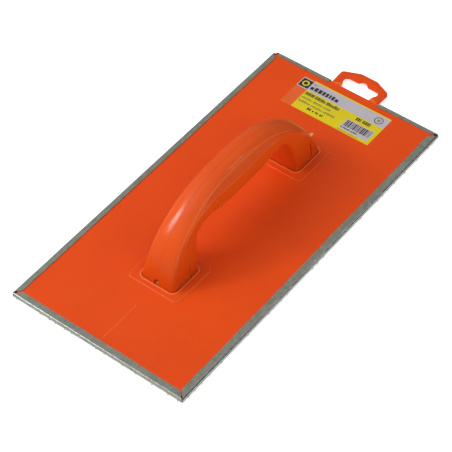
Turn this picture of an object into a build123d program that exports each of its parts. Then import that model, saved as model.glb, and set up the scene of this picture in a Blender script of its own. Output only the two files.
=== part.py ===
"""Abrasive plastering float: a moulded board with a hollow bridge handle and a folded steel rasp sole.

Frame: +X along the float towards its hang tab, +Y across it, +Z up away from the sole.
The origin is the centre of the sole, in the plane that the tooth tips touch.
"""

import os

from build123d import *

# ---- Driving dimensions, in millimetres -------------------------------------------------------

SOLE_LENGTH = 340.0
SOLE_WIDTH = 170.0

# Stack of the sole, from the tooth tips upwards
TOOTH_HEIGHT = 1.3
SHEET = 0.6
BOARD_THICKNESS = 3.5
SHEET_TOP = TOOTH_HEIGHT + SHEET
BOARD_TOP = SHEET_TOP + BOARD_THICKNESS
FLANGE_TOP = BOARD_TOP + SHEET

# Folded steel sheet
BEND_RADIUS = 1.2  # outer radius of each fold
FLANGE_NEAR = 5.9  # widths of the clinched flanges, from the outside of the fold
FLANGE_FAR = 4.0
FLANGE_RIGHT = 6.2
FLANGE_LEFT = 5.2
WALL_END_GAP = 2.2  # each folded wall stops this far short of the corner
MITRE_GAP = 1.6  # between two mitred flange ends
FOLD_LAP = 1.7  # how much of the sole's rim each folded edge carries
TAB_NOTCH = 49.8  # length of far flange left out for the hang tab
TAB_GAP_BOTTOM = 2.5

# Punched teeth, in two interleaved grids
TOOTH_OUTER = 1.7
TOOTH_INNER = 1.0
TOOTH_PITCH_X = 16.6
TOOTH_PITCH_Y = 16.2
TOOTH_COLUMNS = 21
TOOTH_ROWS = 11

# Moulded board
BOARD_LENGTH = 337.0
BOARD_WIDTH = 167.0
BOARD_END = BOARD_LENGTH / 2
PAD_X = 79.5  # centre of each handle foot
PAD_LENGTH = 45.0
PAD_WIDTH = 50.0
PAD_CORNER = 4.5
PAD_TOP = BOARD_TOP + 0.8
SOCKET_X = 79.9  # centre of the socket that the foot stands in
SOCKET_LENGTH = 33.8
SOCKET_WIDTH = 35.0
SOCKET_CORNER = 5.0
SOCKET_FLOOR = 4.0
LIP_WIDTH = 1.4  # lip round the socket
LIP_TOP = PAD_TOP + 0.4

# Rib that stands inside each foot, and its pegs in the foot's notches
SPIGOT_LENGTH = 18.6
SPIGOT_WIDTH = 23.0
SPIGOT_CORNER = 3.5
SPIGOT_WALL = 1.6
SPIGOT_TOP = 8.0
PEG_WIDTH = 2.6
END_PEG_REACH = 6.4
SIDE_PEG_WIDTH = 2.8
SIDE_PEG_REACH = 4.8

# Hang tab
TAB_END = 191.0
TAB_SHOULDER = 184.5
TAB_NOSE = 8.0
TAB_THICKNESS = 2.8
TAB_HALF_WIDTH = 24.0
TAB_LEG_INNER = 14.8
TAB_SLOT_WIDTH = 34.6
TAB_SLOT_HEIGHT = 8.0
TAB_SLOT_TOP = 13.1  # outer edge of the slot, from the board's end
TAB_HUMP_RADIUS = 5.0
WEB_WIDTH = 2.6
WEB_DEPTH = 1.5

# Handle
HANDLE_WALL = 2.4
NOTCH_RADIUS = 2.8
NOTCH_CENTRE = 10.4  # height of the round top's centre
SIDE_NOTCH_X = 75.5
SIDE_NOTCH_RADIUS = 1.9
SIDE_CUT_START = 11.5
SLOT_X = 85.0
SLOT_WIDTH = 0.8
SLOT_BOTTOM = 9.0
SLOT_TOP = 22.0
RIB_THICKNESS = 1.4
RIB_X = (-26.0, -13.0, 13.0, 26.0)
PIN_PLACES = ((-72.0, 36.0), (-40.0, 57.0), (0.0, 56.5), (40.0, 57.0), (72.0, 36.0))  # x, z
PIN_BOSS_RADIUS = 3.0
PIN_RADIUS = 1.5
PIN_CLEARANCE = 0.1
PIN_REACH = 3.0
PIN_ROOT = 0.5

# Stations of the handle's half arch, from the socket floor to mid span: the crest point and the
# underside point on the centre plane (x, z), the side's half width, the shoulder's half width, and how
# far down the section it is widest, as a share of its depth
STATIONS = (
    ((-96.3, SOCKET_FLOOR), (-63.6, SOCKET_FLOOR), 16.9, 15.8, 0.40),
    ((-94.4, 14.6), (-62.6, 13.0), 16.3, 15.1, 0.36),
    ((-91.2, 23.8), (-61.3, 21.5), 15.6, 14.2, 0.32),
    ((-86.8, 32.6), (-60.0, 29.0), 14.8, 13.2, 0.28),
    ((-80.4, 41.6), (-58.2, 35.6), 14.0, 12.1, 0.25),
    ((-71.8, 49.5), (-55.0, 40.0), 13.4, 11.2, 0.23),
    ((-61.2, 57.0), (-50.0, 42.6), 13.0, 10.5, 0.24),
    ((-50.2, 63.4), (-43.6, 43.4), 13.0, 10.2, 0.27),
    ((-38.0, 68.4), (-34.6, 42.2), 13.0, 10.3, 0.32),
    ((-24.5, 71.3), (-23.4, 40.4), 13.0, 10.4, 0.37),
    ((-12.0, 72.6), (-11.8, 39.6), 13.0, 10.4, 0.41),
    ((0.0, 73.0), (0.0, 39.6), 13.0, 10.4, 0.42),
)
# Shape of a section at the foot and at the grip: how far the shoulder lies below the crest, the
# lower corner's radius, and that corner's share of the half width
FOOT_SHAPE = (1.6, 3.5, 0.97)
GRIP_SHAPE = (3.0, 3.0, 0.94)
FOOT_STATIONS = 7  # stations over which the foot's shape turns into the grip's

# Screws
SCREW_Y = 5.6
SCREW_RADIUS = 1.7
SCREW_LENGTH = 14.0
PILOT_RADIUS = 1.75
CLEARANCE_RADIUS = 2.0
HEAD_RADIUS = 3.4
HEAD_HEIGHT = 1.6
HEAD_TAPER = 41
COUNTERSINK_GAP = 0.2
RECESS_LENGTH = 3.6
RECESS_WIDTH = 0.8
RECESS_DEPTH = 0.9
BOSS_RADIUS = 3.6
BOSS_TOP = 20.0
BOSS_WEB = 1.6

# Label
LABEL_START = 124.0
LABEL_LENGTH = 36.4
LABEL_WIDTH = 90.2
LABEL_SHIFT = 0.5  # the label sits this far off centre
LABEL_THICKNESS = 0.12
LABEL_CORNER = 1.2

REACH = 200.0  # longer than any part, for cuts that go right through

os.makedirs("parts", exist_ok=True)


def save(part, name):
    """Label a finished piece and write it as its own STEP file."""
    part.label = name
    export_step(part, f"parts/{name}.step")


# ---- Board --------------------------------------------------------------------------------------

with BuildPart() as board:
    with BuildSketch(Plane.XY.offset(SHEET_TOP)):
        Rectangle(BOARD_LENGTH, BOARD_WIDTH)
    extrude(amount=BOARD_THICKNESS)
    fillet(board.edges().filter_by(Axis.Z), 1.0)

    # Hang tab, flush with the top of the plate
    with BuildSketch(Plane.XY.offset(BOARD_TOP - TAB_THICKNESS)):
        with BuildLine():
            Polyline(
                (BOARD_END - 3, 0),
                (BOARD_END - 3, TAB_HALF_WIDTH - 0.5),
                (BOARD_END, TAB_HALF_WIDTH - 0.5),
                (TAB_SHOULDER - 1.5, TAB_HALF_WIDTH),
                (TAB_SHOULDER, TAB_HALF_WIDTH - 1.2),
                (TAB_END, TAB_NOSE),
                (TAB_END, 0),
            )
            mirror(about=Plane.XZ)
        make_face()
    extrude(amount=TAB_THICKNESS)

    # Display-hook opening: a straight part against the plate, a wider rounded slot, a central hump
    with BuildSketch(Plane.XY.offset(BOARD_TOP)):
        with Locations((BOARD_END + TAB_SLOT_TOP / 2, 0)):
            Rectangle(TAB_SLOT_TOP, 2 * TAB_LEG_INNER)
        with Locations((BOARD_END + TAB_SLOT_TOP - TAB_SLOT_HEIGHT / 2, 0)):
            RectangleRounded(TAB_SLOT_HEIGHT, TAB_SLOT_WIDTH, 3.4)
        with Locations((BOARD_END + TAB_SLOT_TOP - 1.5, 0)):
            Circle(TAB_HUMP_RADIUS)
    extrude(amount=-TAB_THICKNESS, mode=Mode.SUBTRACT)

    # Thin snap-off webs at the roots of the tab's two legs
    web_x = BOARD_END + WEB_WIDTH / 2
    with BuildSketch(Plane.XY.offset(BOARD_TOP - TAB_THICKNESS)):
        with Locations((web_x, TAB_HALF_WIDTH), (web_x, -TAB_HALF_WIDTH)):
            Rectangle(WEB_WIDTH, 2 * (TAB_HALF_WIDTH - TAB_LEG_INNER) + 2)
    extrude(amount=WEB_DEPTH, mode=Mode.SUBTRACT)

    for end in (-1, 1):
        foot_x = end * PAD_X

        # Raised pad with a lip, and the socket sunk through them
        with BuildSketch(Plane.XY.offset(BOARD_TOP)):
            with Locations((foot_x, 0)):
                RectangleRounded(PAD_LENGTH, PAD_WIDTH, PAD_CORNER)
        extrude(amount=PAD_TOP - BOARD_TOP)
        with BuildSketch(Plane.XY.offset(PAD_TOP)):
            with Locations((end * SOCKET_X, 0)):
                RectangleRounded(
                    SOCKET_LENGTH + 2 * LIP_WIDTH, SOCKET_WIDTH + 2 * LIP_WIDTH, SOCKET_CORNER + LIP_WIDTH
                )
        extrude(amount=LIP_TOP - PAD_TOP)
        with BuildSketch(Plane.XY.offset(SOCKET_FLOOR)):
            with Locations((end * SOCKET_X, 0)):
                RectangleRounded(SOCKET_LENGTH, SOCKET_WIDTH, SOCKET_CORNER)
        extrude(amount=LIP_TOP - SOCKET_FLOOR, mode=Mode.SUBTRACT)

        # Spigot that the foot drops over, with pegs that stand in the foot's notches
        with BuildSketch(Plane.XY.offset(SOCKET_FLOOR)):
            with Locations((foot_x, 0)):
                RectangleRounded(SPIGOT_LENGTH, SPIGOT_WIDTH, SPIGOT_CORNER)
            with Locations((foot_x + end * (SPIGOT_LENGTH + END_PEG_REACH) / 2, 0)):
                Rectangle(END_PEG_REACH, PEG_WIDTH)
            peg_y = (SPIGOT_WIDTH + SIDE_PEG_REACH) / 2
            with Locations((end * SIDE_NOTCH_X, peg_y), (end * SIDE_NOTCH_X, -peg_y)):
                Rectangle(SIDE_PEG_WIDTH, SIDE_PEG_REACH)
            with Locations((foot_x, 0)):
                Rectangle(SPIGOT_LENGTH - 2 * SPIGOT_WALL, SPIGOT_WIDTH - 2 * SPIGOT_WALL, mode=Mode.SUBTRACT)
        extrude(amount=SPIGOT_TOP - SOCKET_FLOOR)

        # Countersunk screw holes, driven from below
        with BuildSketch(Plane.XY.offset(SHEET_TOP)):
            with Locations((foot_x, SCREW_Y), (foot_x, -SCREW_Y)):
                Circle(CLEARANCE_RADIUS)
        extrude(amount=SOCKET_FLOOR - SHEET_TOP, mode=Mode.SUBTRACT)
        with BuildSketch(Plane.XY.offset(SHEET_TOP)):
            with Locations((foot_x, SCREW_Y), (foot_x, -SCREW_Y)):
                Circle(HEAD_RADIUS + COUNTERSINK_GAP)
        extrude(amount=HEAD_HEIGHT, taper=HEAD_TAPER, mode=Mode.SUBTRACT)

save(board.part, "board")


# ---- Handle: two half shells that meet on the centre plane ---------------------------------------


def half_section(crest, under, width, shoulder, waist_share, shape, inset, side):
    """One half of a handle section, on the given side of the centre plane, inset from the skin."""
    drop, corner_radius, share = shape
    origin = Vector(crest[0], 0, crest[1])
    down = Vector(under[0], 0, under[1]) - origin
    plane = Plane(origin, x_dir=down.normalized(), z_dir=down.cross(Vector(0, 1, 0)).normalized())
    top = inset
    bottom = down.length - inset
    half = width - inset
    edge = (top + drop, side * (shoulder - inset))
    waist = (top + waist_share * (bottom - top), side * half)
    corner = (bottom - corner_radius, side * share * half)
    belly = (bottom, corner[1] - side * corner_radius)
    with BuildSketch(plane) as section:
        with BuildLine():
            ThreePointArc((top, 0), (top + 0.27 * drop, 0.55 * edge[1]), edge)
            Spline(edge, waist, corner, tangents=((1, side * 0.7), (1, 0)))
            TangentArc(corner, belly, tangent=(1, 0))
            Line(belly, (bottom, 0))
            Line((bottom, 0), (top, 0))
        make_face()
    return section.sketch


def arch(inset, side):
    """All the half sections of the arch, from one foot over mid span to the other."""
    sections = []
    for index, station in enumerate(STATIONS):
        turn = min(1.0, index / FOOT_STATIONS)
        shape = [foot + (grip - foot) * turn for foot, grip in zip(FOOT_SHAPE, GRIP_SHAPE)]
        sections.append((*station, shape))
    for (crest_x, crest_z), (under_x, under_z), *rest in sections[-2::-1]:
        sections.append(((-crest_x, crest_z), (-under_x, under_z), *rest))
    return [half_section(*row, inset, side) for row in sections]


def handle_cavity(side):
    """The hollow of one half shell, less the ribs, bosses and webs that stand in it."""
    with BuildPart() as cavity:
        loft(sections=arch(HANDLE_WALL, side))

        # Cross ribs in the grip
        with BuildSketch(Plane.XY):
            with Locations(*[(x, 0) for x in RIB_X]):
                Rectangle(RIB_THICKNESS, REACH)
        extrude(amount=REACH, mode=Mode.SUBTRACT)

        # Bosses of the locating pins
        with BuildSketch(Plane.XZ):
            with Locations(*PIN_PLACES):
                Circle(PIN_BOSS_RADIUS)
        extrude(amount=REACH, both=True, mode=Mode.SUBTRACT)

        # Screw bosses, tied to the side wall by a web above the spigot
        with BuildSketch(Plane.XY):
            with Locations((PAD_X, side * SCREW_Y), (-PAD_X, side * SCREW_Y)):
                Circle(BOSS_RADIUS)
        extrude(amount=BOSS_TOP, mode=Mode.SUBTRACT)
        with BuildSketch(Plane.XY.offset(SPIGOT_TOP + 1)):
            with Locations((PAD_X, side * (SCREW_Y + 10)), (-PAD_X, side * (SCREW_Y + 10))):
                Rectangle(BOSS_WEB, 20)
        extrude(amount=BOSS_TOP - SPIGOT_TOP - 1, mode=Mode.SUBTRACT)
    return cavity.part


def round_topped(places, radius, centre):
    """Outlines, in a vertical sketch plane, of notches open at the foot and round on top."""
    with Locations(*[(x, centre / 2) for x in places]):
        Rectangle(2 * radius, centre)
    with Locations(*[(x, centre) for x in places]):
        Circle(radius)


for side, name in ((1, "handle_left_shell"), (-1, "handle_right_shell")):
    cavity = handle_cavity(side)
    with BuildPart() as shell:
        loft(sections=arch(0.0, side))
        add(cavity, mode=Mode.SUBTRACT)

        # Pilot holes of the screws
        with BuildSketch(Plane.XY.offset(SOCKET_FLOOR)):
            with Locations((PAD_X, side * SCREW_Y), (-PAD_X, side * SCREW_Y)):
                Circle(PILOT_RADIUS)
        extrude(amount=SCREW_LENGTH - 1, mode=Mode.SUBTRACT)

        # This half of the notch in each foot's outer end
        for end in (-1, 1):
            with BuildSketch(Plane.YZ.offset(end * PAD_X)):
                round_topped((0,), NOTCH_RADIUS, NOTCH_CENTRE)
            extrude(amount=end * REACH, mode=Mode.SUBTRACT)

        # Notches in the feet's sides, and the slot near the outer edge of one foot
        with BuildSketch(Plane.XZ.offset(-side * SIDE_CUT_START)):
            round_topped((SIDE_NOTCH_X, -SIDE_NOTCH_X), SIDE_NOTCH_RADIUS, NOTCH_CENTRE)
            with Locations((-side * SLOT_X, (SLOT_BOTTOM + SLOT_TOP) / 2)):
                Rectangle(SLOT_WIDTH, SLOT_TOP - SLOT_BOTTOM)
        extrude(amount=-side * REACH, mode=Mode.SUBTRACT)

        # Locating pins on the left shell, and their holes in the right shell
        if side == 1:
            with BuildSketch(Plane.XZ.offset(-PIN_ROOT)):
                with Locations(*PIN_PLACES):
                    Circle(PIN_RADIUS)
            extrude(amount=PIN_ROOT + PIN_REACH)
        else:
            with BuildSketch(Plane.XZ):
                with Locations(*PIN_PLACES):
                    Circle(PIN_RADIUS + PIN_CLEARANCE)
            extrude(amount=PIN_REACH + PIN_ROOT, mode=Mode.SUBTRACT)
    save(shell.part, name)


# ---- Screws ---------------------------------------------------------------------------------------

screw_places = [(end * PAD_X, row * SCREW_Y) for end in (-1, 1) for row in (-1, 1)]
with BuildPart() as handle_screws:
    with BuildSketch(Plane.XY.offset(SHEET_TOP)):
        with Locations(*screw_places):
            Circle(SCREW_RADIUS)
    extrude(amount=SCREW_LENGTH)
    with BuildSketch(Plane.XY.offset(SHEET_TOP)):
        with Locations(*screw_places):
            Circle(HEAD_RADIUS)
    extrude(amount=HEAD_HEIGHT, taper=HEAD_TAPER)

    # Cross recess in each head
    with BuildSketch(Plane.XY.offset(SHEET_TOP)):
        with Locations(*screw_places):
            Rectangle(RECESS_LENGTH, RECESS_WIDTH)
            Rectangle(RECESS_WIDTH, RECESS_LENGTH)
    extrude(amount=RECESS_DEPTH, mode=Mode.SUBTRACT)

save(handle_screws.part, "handle_screws")


# ---- Abrasive sheet --------------------------------------------------------------------------------


def folded_edge(outward, half_span, half_length, flange):
    """One folded wall with its clinched flange, mitred at both ends; outward is its direction."""
    outward = Vector(*outward)
    along = outward.rotate(Axis.Z, -90)
    height = FLANGE_TOP - TOOTH_HEIGHT
    middle = (TOOTH_HEIGHT + FLANGE_TOP) / 2
    block = 3 * flange
    with BuildPart() as edge:
        with BuildSketch(Plane(origin=(0, 0, 0), x_dir=outward, z_dir=along)):
            with Locations((half_span - block / 2, middle)):
                RectangleRounded(block, height, BEND_RADIUS)
                RectangleRounded(
                    block - 2 * SHEET, height - 2 * SHEET, BEND_RADIUS - SHEET, mode=Mode.SUBTRACT
                )
            with Locations((half_span - FOLD_LAP - block / 2, TOOTH_HEIGHT)):
                Rectangle(block, height, mode=Mode.SUBTRACT)
            with Locations((half_span - flange - block / 2, FLANGE_TOP)):
                Rectangle(block, height, mode=Mode.SUBTRACT)
        extrude(amount=half_length - WALL_END_GAP, both=True)
        with BuildSketch(Plane(origin=(0, 0, 0), x_dir=outward, z_dir=(0, 0, 1))):
            reach = half_length - MITRE_GAP / 2**0.5
            with BuildLine():
                Polyline(
                    (half_span, reach),
                    (half_span, -reach),
                    (half_span - block, block - reach),
                    (half_span - block, reach - block),
                    close=True,
                )
            make_face()
        extrude(amount=FLANGE_TOP, mode=Mode.INTERSECT)
    return edge.part


half_x = SOLE_LENGTH / 2
half_y = SOLE_WIDTH / 2
edges = [
    folded_edge((-1, 0), half_x, half_y, FLANGE_NEAR),
    folded_edge((1, 0), half_x, half_y, FLANGE_FAR),
    folded_edge((0, -1), half_y, half_x, FLANGE_RIGHT),
    folded_edge((0, 1), half_y, half_x, FLANGE_LEFT),
]

with BuildPart() as abrasive_sheet:
    with BuildSketch(Plane.XY.offset(TOOTH_HEIGHT)):
        Rectangle(SOLE_LENGTH - 2 * BEND_RADIUS, SOLE_WIDTH - 2 * BEND_RADIUS)
    extrude(amount=SHEET)

    # Burr collars of the punched teeth, then their holes
    with BuildSketch(Plane.XY):
        with GridLocations(TOOTH_PITCH_X, TOOTH_PITCH_Y, TOOTH_COLUMNS, TOOTH_ROWS):
            Circle(TOOTH_OUTER)
        with GridLocations(TOOTH_PITCH_X, TOOTH_PITCH_Y, TOOTH_COLUMNS - 1, TOOTH_ROWS - 1):
            Circle(TOOTH_OUTER)
    extrude(amount=SHEET_TOP)
    with BuildSketch(Plane.XY):
        with GridLocations(TOOTH_PITCH_X, TOOTH_PITCH_Y, TOOTH_COLUMNS, TOOTH_ROWS):
            Circle(TOOTH_INNER)
        with GridLocations(TOOTH_PITCH_X, TOOTH_PITCH_Y, TOOTH_COLUMNS - 1, TOOTH_ROWS - 1):
            Circle(TOOTH_INNER)
    extrude(amount=SHEET_TOP, mode=Mode.SUBTRACT)

    for edge in edges:
        add(edge)

    # Gap in the far wall and flange, where the hang tab passes
    with BuildSketch(Plane.XY.offset(TAB_GAP_BOTTOM)):
        with Locations((half_x, 0)):
            Rectangle(2 * FLANGE_NEAR, TAB_NOTCH)
    extrude(amount=FLANGE_TOP, mode=Mode.SUBTRACT)

save(abrasive_sheet.part, "abrasive_sheet")


# ---- Label ------------------------------------------------------------------------------------------

with BuildPart() as label:
    with BuildSketch(Plane.XY.offset(BOARD_TOP)):
        with Locations((LABEL_START + LABEL_LENGTH / 2, LABEL_SHIFT)):
            RectangleRounded(LABEL_LENGTH, LABEL_WIDTH, LABEL_CORNER)
    extrude(amount=LABEL_THICKNESS)

save(label.part, "label")
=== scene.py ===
import math
import random

import bmesh
import bpy
import numpy as np
from mathutils import Matrix, Vector, geometry, noise


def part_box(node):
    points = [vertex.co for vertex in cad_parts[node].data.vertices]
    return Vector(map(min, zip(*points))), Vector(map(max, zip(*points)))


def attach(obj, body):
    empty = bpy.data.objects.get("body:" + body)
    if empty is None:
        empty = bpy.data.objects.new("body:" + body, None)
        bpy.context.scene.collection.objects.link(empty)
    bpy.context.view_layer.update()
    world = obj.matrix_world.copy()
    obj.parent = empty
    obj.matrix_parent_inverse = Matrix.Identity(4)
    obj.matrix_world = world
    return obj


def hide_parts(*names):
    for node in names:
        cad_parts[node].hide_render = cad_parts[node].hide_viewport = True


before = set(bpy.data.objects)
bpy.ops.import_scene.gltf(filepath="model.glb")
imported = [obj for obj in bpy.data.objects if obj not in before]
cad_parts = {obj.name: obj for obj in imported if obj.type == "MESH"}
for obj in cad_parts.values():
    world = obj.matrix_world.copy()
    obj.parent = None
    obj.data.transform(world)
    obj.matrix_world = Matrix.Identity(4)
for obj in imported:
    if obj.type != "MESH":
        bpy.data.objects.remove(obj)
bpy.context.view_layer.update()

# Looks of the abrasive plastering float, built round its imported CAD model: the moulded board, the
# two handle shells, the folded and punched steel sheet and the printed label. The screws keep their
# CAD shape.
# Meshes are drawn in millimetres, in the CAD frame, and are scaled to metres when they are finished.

MM = 0.001
random.seed(7)


def node_box(name):
    """Lowest and highest corner of a CAD node, in millimetres."""
    low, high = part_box(name)
    return low / MM, high / MM


# ---- Dimensions, in millimetres ------------------------------------------------------------------

_, sheet_high = node_box("abrasive_sheet")
board_low, board_high = node_box("board")
label_low, label_high = node_box("label")
shell_low, _ = node_box("handle_left_shell")

HALF_X = sheet_high.x
HALF_Y = sheet_high.y
BOARD_BOTTOM = board_low.z
BOARD_TOP = label_low.z
BOARD_X = -board_low.x
BOARD_Y = board_high.y
BOARD_CORNER = 5.0
SHEET = sheet_high.z - BOARD_TOP  # gauge of the steel
SOLE = BOARD_BOTTOM - SHEET  # height of the sole plate's underside, above the tooth tips

# Feet of the handle, and what they stand in
PAD_X = 79.5
PAD_SIZE = (45.0, 50.0, 4.5)  # length, width, corner radius
PAD_RISE = 0.8
SOCKET_X = 79.9
SOCKET_SIZE = (33.8, 35.0, 5.0)
SOCKET_FLOOR = shell_low.z
LIP_WIDTH = 1.4
LIP_RISE = 0.4
SOCKET_DRAFT = 0.45  # how far the socket's wall leans in below its lip
SPIGOT_SIZE = (18.6, 23.0, 3.5)
SPIGOT_WALL = 1.6
SPIGOT_TOP = 8.0
SPIGOT_EDGE = 0.2  # bevel round the spigot's top
POCKET_CORNER = 1.5
PEG_HALF_WIDTH = 2.2  # peg at the foot's outer end
PEG_REACH = 6.4
SIDE_NOTCH_X = 75.5
SIDE_PEG_HALF_WIDTH = 0.9  # pegs at the foot's two sides
SIDE_PEG_REACH = 4.8
SCREW_Y = 5.6
SCREW_HOLE = 2.0  # radius
COUNTERSINK = 3.6  # radius
COUNTERSINK_DEPTH = 1.6

# Knit line, where the flows of plastic met behind the foot
KNIT_X = -141.5
KNIT_SIZE = (41.0, 0.4, 0.15)
KNIT_RISE = 0.06

# Hang tab, and the grooves below that leave thin webs at its two roots
TAB_END = board_high.x
TAB_THICKNESS = 2.8
TAB_ROOT = BOARD_X - 1.5  # the tab starts this far inside the plate
TAB_SINK = 0.05  # the tab's top lies this little below the plate's
WEB_START = TAB_ROOT - 0.2
WEB_END = BOARD_X + 2.6
WEB_SPAN = (13.0, 26.0)  # across the float
WEB_DEPTH = 1.5
WEB_FACES = (BOARD_X - 0.2, 14.0, BOARD_BOTTOM + 1.5)  # their faces lie past this x, y and z

# Folded sheet
BEND = 1.2  # outer radius of each fold
# Each side's outward direction, flange width and how far its flange stops short of the mitre line at
# its start and end, going anticlockwise
SIDES = (
    ((0, -1), 6.2, 0.7, 2.4),
    ((1, 0), 4.0, 0.9, 2.6),
    ((0, 1), 5.2, 2.4, 1.7),
    ((-1, 0), 5.9, 0.8, 0.6),
)
CORNER_GAP = 0.15  # each folded side stops this far short of the corner
STATION = 1.05  # spacing of the mesh along the rim
WALL_HEIGHTS = (3.1, 3.7, 4.3)
FLANGE_SHARES = (0.12, 0.3, 0.5, 0.7, 0.86, 0.95, 1.0)  # rows across a flange
TAB_GAP = 24.9  # half length of the flange and wall left out for the hang tab

# Rows of the fold's profile
BURR_ROW = 2  # carries the torn burrs
PAINTED_AND_POLISHED_ROWS = range(2, 14)  # rows that carry the painted reflection on the near wall, the painted highlight on the end bends and the polished long-side bends
SIDE_BEND_ROW = 7  # where the bright bend starts on the long sides, and the near wall's painted reflection ends
END_BEND_ROW = 9  # where the end bends with the painted highlight start
BURR_LEAN = 0.3  # outward reach of a burr, as a share of its drop
BURR_DROP = (1.0, 1.4)
BURR_PLACES = range(-20, 21)  # along a fold, half a tooth pitch apart
BURR_SHARE = 0.55  # of those places that have a burr

# Teeth, in a grid and a second one, one less each way, that stands between its rows
TOOTH_PITCH = (16.6, 16.2)
TOOTH_GRID = (21, 11)
TOOTH_RINGS = ((1.7, 0), (1.52, 0.16), (1.36, 0.5), (1.24, 0.85), (1.16, 1.3))  # radius, depth
TOOTH_STEPS = 12
TOOTH_LEAN = 0.25  # greatest drift of a tip, along X or Y
TIP_THICKNESS = 0.3  # share of the sheet's gauge


# ---- Mesh tools -----------------------------------------------------------------------------------

LONGEST_CUT = 0.48  # share of an edge that a rounded corner may take
SHORTEST_BISECTOR = 0.4  # keeps the point at a sharp corner from moving too far
MERGE_DISTANCE = 1e-7
SMOOTH_ANGLE = math.radians(32)  # edges sharper than this stay sharp


def bezier(start, control, end, steps):
    """Points of a quadratic curve, without its start."""
    points = []
    for step in range(1, steps + 1):
        t = step / steps
        points.append(start * (1 - t) ** 2 + control * (2 * t * (1 - t)) + end * t**2)
    return points


def round_corners(points, steps=6):
    """Closed outline through (x, y, cut) points, each corner rounded off from cut away on both sides."""
    outline = []
    for i, (x, y, cut) in enumerate(points):
        corner = Vector((x, y))
        if cut == 0:
            outline.append(corner)
            continue
        before = Vector(points[i - 1][:2]) - corner
        after = Vector(points[(i + 1) % len(points)][:2]) - corner
        cut = min(cut, LONGEST_CUT * before.length, LONGEST_CUT * after.length)
        start = corner + before.normalized() * cut
        end = corner + after.normalized() * cut
        outline.append(start)
        outline.extend(bezier(start, corner, end, steps))
    return outline


def rounded_rectangle(centre, size, steps=8):
    """Outline of a rectangle with round corners, anticlockwise."""
    length, width, radius = size
    outline = []
    for quarter in range(4):
        across = (length if quarter in (0, 3) else -length) / 2
        along = (width if quarter in (0, 1) else -width) / 2
        turn = Vector((across - math.copysign(radius, across), along - math.copysign(radius, along)))
        for step in range(steps + 1):
            angle = math.radians(90) * (quarter + step / steps)
            outline.append(Vector((centre, 0)) + turn + radius * Vector((math.cos(angle), math.sin(angle))))
    return outline


def rectangle(left, right, bottom, top):
    """Outline of a rectangle, anticlockwise."""
    return [Vector(corner) for corner in ((left, bottom), (right, bottom), (right, top), (left, top))]


def circle(x, y, radius, steps=24):
    """Outline of a circle, anticlockwise."""
    turns = [math.tau * step / steps for step in range(steps)]
    return [Vector((x + radius * math.cos(turn), y + radius * math.sin(turn))) for turn in turns]


def grow(outline, amount):
    """The outline moved outwards by an amount, each point along its corner's bisector."""
    moved = []
    for i, point in enumerate(outline):
        before = (point - outline[i - 1]).normalized()
        after = (outline[(i + 1) % len(outline)] - point).normalized()
        middle = (before + after).normalized()
        reach = amount / max(SHORTEST_BISECTOR, middle.dot(after))
        moved.append(point + reach * Vector((middle.y, -middle.x)))
    return moved


def bridge(bm, first, second, closed=True, finishes=None):
    """Quads between two rows of vertices, each with a finish of its own if a list of them is given."""
    for i in range(len(first) if closed else len(first) - 1):
        j = (i + 1) % len(first)
        face = bm.faces.new((first[i], first[j], second[j], second[i]))
        face.material_index = finishes[i] if finishes else 0


def stack(bm, outline, profile):
    """Rings of one outline at each (outward offset, height) of a profile, joined up; the end rings."""
    rings = []
    for offset, height in profile:
        rings.append([bm.verts.new((p.x, p.y, height)) for p in grow(outline, offset)])
    for lower, upper in zip(rings, rings[1:]):
        bridge(bm, lower, upper)
    return rings[0], rings[-1]


def partition(bm, rings):
    """Triangles of the first of some level rings, with the indices of the rings that each lies in."""
    corners = [vertex for ring in rings for vertex in ring]
    flat = [vertex.co.xy for vertex in corners]
    faces = []
    start = 0
    for ring in rings:
        face = list(range(start, start + len(ring)))
        start += len(ring)
        swept = sum(flat[a].cross(flat[b]) for a, b in zip(face, face[1:] + face[:1]))
        faces.append(face if swept > 0 else face[::-1])
    keep_inside = 1
    divided = geometry.delaunay_2d_cdt(flat, [], faces, keep_inside, MERGE_DISTANCE)
    places, _, triangles, sources, _, owners = divided
    level = corners[0].co.z
    used = [
        corners[origin[0]] if origin else bm.verts.new((point.x, point.y, level))
        for point, origin in zip(places, sources)
    ]
    return [([used[i] for i in triangle], list(inside)) for triangle, inside in zip(triangles, owners)]


def fill(bm, outer, holes=()):
    """Triangles over a flat level region between one ring and the rings inside it."""
    for triangle, inside in partition(bm, [outer, *holes]):
        if inside == [0]:
            bm.faces.new(triangle)


def link_mesh(name, bm):
    """A Blender object, in the scene, from a bmesh."""
    mesh = bpy.data.meshes.new(name)
    bm.to_mesh(mesh)
    bm.free()
    made = bpy.data.objects.new(name, mesh)
    bpy.context.scene.collection.objects.link(made)
    return made


def new_object(name, bm):
    """A Blender object, still in millimetres, from a closed bmesh."""
    bmesh.ops.recalc_face_normals(bm, faces=bm.faces)
    return link_mesh(name, bm)


def apply_modifiers(piece):
    """Replace a piece's mesh with what its modifiers make of it."""
    graph = bpy.context.evaluated_depsgraph_get()
    mesh = bpy.data.meshes.new_from_object(piece.evaluated_get(graph))
    rough = piece.data
    piece.modifiers.clear()
    piece.data = mesh
    bpy.data.meshes.remove(rough)


def combine(piece, tool, operation="DIFFERENCE"):
    """Cut a tool out of a piece, or join it on, and discard the tool."""
    modifier = piece.modifiers.new("combine", "BOOLEAN")
    modifier.operation = operation
    modifier.solver = "EXACT"
    modifier.object = tool
    apply_modifiers(piece)
    spare = tool.data
    bpy.data.objects.remove(tool)
    bpy.data.meshes.remove(spare)


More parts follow.
